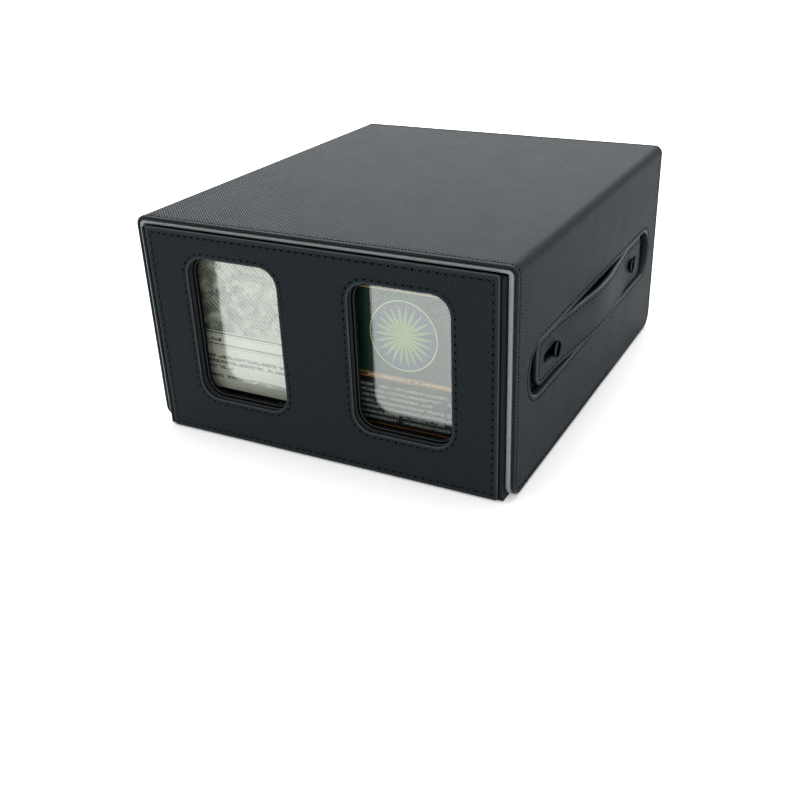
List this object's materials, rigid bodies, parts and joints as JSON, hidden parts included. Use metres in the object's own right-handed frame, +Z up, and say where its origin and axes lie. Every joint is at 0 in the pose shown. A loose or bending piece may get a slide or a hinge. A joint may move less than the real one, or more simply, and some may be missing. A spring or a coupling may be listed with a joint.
{
  "type": "game card case",
  "caption": "Rigid two-row card case with framed display windows, a fold-over leather cover and a pull-out strap handle on each side.",
  "frame": {"origin": "centre of the underside, on the surface that the case stands on", "axes": "+X to the right of the windows, +Y to the rear, +Z up"},
  "size_m": [0.1956, 0.224, 0.107],
  "materials": {
    "black_leather": "matte",
    "grey_felt": "matte",
    "grey_board": "matte",
    "black_plastic": "satin",
    "clear_pane": "gloss",
    "pale_card": "satin",
    "green_card": "satin",
    "dark_metal": "polished",
    "magnet_metal": "polished"
  },
  "bodies": {
    "box": {"underside_skin": "black_leather", "left_side_skin": "black_leather", "right_side_skin": "black_leather", "front_fascia": "black_leather", "rear_panel": "black_leather", "rim_binding": "black_leather", "floor_board": "grey_board", "front_board": "grey_board", "rear_board": "grey_board", "left_board": "grey_board", "right_board": "grey_board", "centre_divider": "grey_board", "left_compartment_lining": "grey_felt", "right_compartment_lining": "grey_felt", "left_pocket_frame": "black_plastic", "right_pocket_frame": "black_plastic", "left_card_tray": "black_plastic", "right_card_tray": "black_plastic", "left_window_pane": "clear_pane", "right_window_pane": "clear_pane", "left_display_card": "pale_card", "right_display_card": "green_card", "left_front_handle_stud": "dark_metal", "left_rear_handle_stud": "dark_metal", "right_front_handle_stud": "dark_metal", "right_rear_handle_stud": "dark_metal", "left_front_stud_cap": "dark_metal", "left_rear_stud_cap": "dark_metal", "right_front_stud_cap": "dark_metal", "right_rear_stud_cap": "dark_metal", "wall_front_magnet": "magnet_metal", "wall_rear_magnet": "magnet_metal", "left_flap_leather": "black_leather", "left_flap_lining": "grey_felt"},
    "lid": {"top_leather": "black_leather", "top_lining": "grey_felt"},
    "flap": {"right_flap_leather": "black_leather", "right_flap_lining": "grey_felt", "flap_front_magnet": "magnet_metal", "flap_rear_magnet": "magnet_metal"},
    "left_handle": {"left_strap_middle": "black_leather"},
    "left_front_arm": {"left_front_strap_arm": "black_leather"},
    "left_front_tab": {"left_front_strap_tab": "black_leather"},
    "left_rear_arm": {"left_rear_strap_arm": "black_leather"},
    "left_rear_tab": {"left_rear_strap_tab": "black_leather"},
    "right_handle": {"right_strap_middle": "black_leather"},
    "right_front_arm": {"right_front_strap_arm": "black_leather"},
    "right_front_tab": {"right_front_strap_tab": "black_leather"},
    "right_rear_arm": {"right_rear_strap_arm": "black_leather"},
    "right_rear_tab": {"right_rear_strap_tab": "black_leather"}
  },
  "joints": [
    {"name": "lid_fold", "type": "hinge", "parent": "box", "child": "lid", "pos_m": [-0.09321, 0, 0.10571], "axis": [0, -1, 0], "range_deg": [0, 180]},
    {"name": "flap_fold", "type": "hinge", "parent": "lid", "child": "flap", "pos_m": [0.09321, 0, 0.10571], "axis": [0, -1, 0], "range_deg": [0, 180]},
    {"name": "left_handle_pull", "type": "slide", "parent": "box", "child": "left_handle", "axis": [-1, 0, 0], "range_m": [0, 0.023]},
    {"name": "left_front_arm_bend", "type": "hinge", "parent": "left_handle", "child": "left_front_arm", "pos_m": [-0.0965, -0.0085, 0.0527], "axis": [0, 0, 1], "range_deg": [0, 29.7]},
    {"name": "left_front_tab_bend", "type": "hinge", "parent": "left_front_arm", "child": "left_front_tab", "pos_m": [-0.092, -0.0553, 0.0527], "axis": [0, 0, -1], "range_deg": [0, 29.7]},
    {"name": "left_rear_arm_bend", "type": "hinge", "parent": "left_handle", "child": "left_rear_arm", "pos_m": [-0.0965, 0.0085, 0.0527], "axis": [0, 0, -1], "range_deg": [0, 29.7]},
    {"name": "left_rear_tab_bend", "type": "hinge", "parent": "left_rear_arm", "child": "left_rear_tab", "pos_m": [-0.092, 0.0553, 0.0527], "axis": [0, 0, 1], "range_deg": [0, 29.7]},
    {"name": "right_handle_pull", "type": "slide", "parent": "box", "child": "right_handle", "axis": [1, 0, 0], "range_m": [0, 0.023]},
    {"name": "right_front_arm_bend", "type": "hinge", "parent": "right_handle", "child": "right_front_arm", "pos_m": [0.0965, -0.0085, 0.0527], "axis": [0, 0, -1], "range_deg": [0, 29.7]},
    {"name": "right_front_tab_bend", "type": "hinge", "parent": "right_front_arm", "child": "right_front_tab", "pos_m": [0.092, -0.0553, 0.0527], "axis": [0, 0, 1], "range_deg": [0, 29.7]},
    {"name": "right_rear_arm_bend", "type": "hinge", "parent": "right_handle", "child": "right_rear_arm", "pos_m": [0.0965, 0.0085, 0.0527], "axis": [0, 0, 1], "range_deg": [0, 29.7]},
    {"name": "right_rear_tab_bend", "type": "hinge", "parent": "right_rear_arm", "child": "right_rear_tab", "pos_m": [0.092, 0.0553, 0.0527], "axis": [0, 0, -1], "range_deg": [0, 29.7]}
  ],
  "couplings": [
    {"joint": "left_front_arm_bend", "follows": "left_handle_pull", "rad_per_m": 22.5},
    {"joint": "left_front_tab_bend", "follows": "left_handle_pull", "rad_per_m": 22.5},
    {"joint": "left_rear_arm_bend", "follows": "left_handle_pull", "rad_per_m": 22.5},
    {"joint": "left_rear_tab_bend", "follows": "left_handle_pull", "rad_per_m": 22.5},
    {"joint": "right_front_arm_bend", "follows": "right_handle_pull", "rad_per_m": 22.5},
    {"joint": "right_front_tab_bend", "follows": "right_handle_pull", "rad_per_m": 22.5},
    {"joint": "right_rear_arm_bend", "follows": "right_handle_pull", "rad_per_m": 22.5},
    {"joint": "right_rear_tab_bend", "follows": "right_handle_pull", "rad_per_m": 22.5}
  ]
}
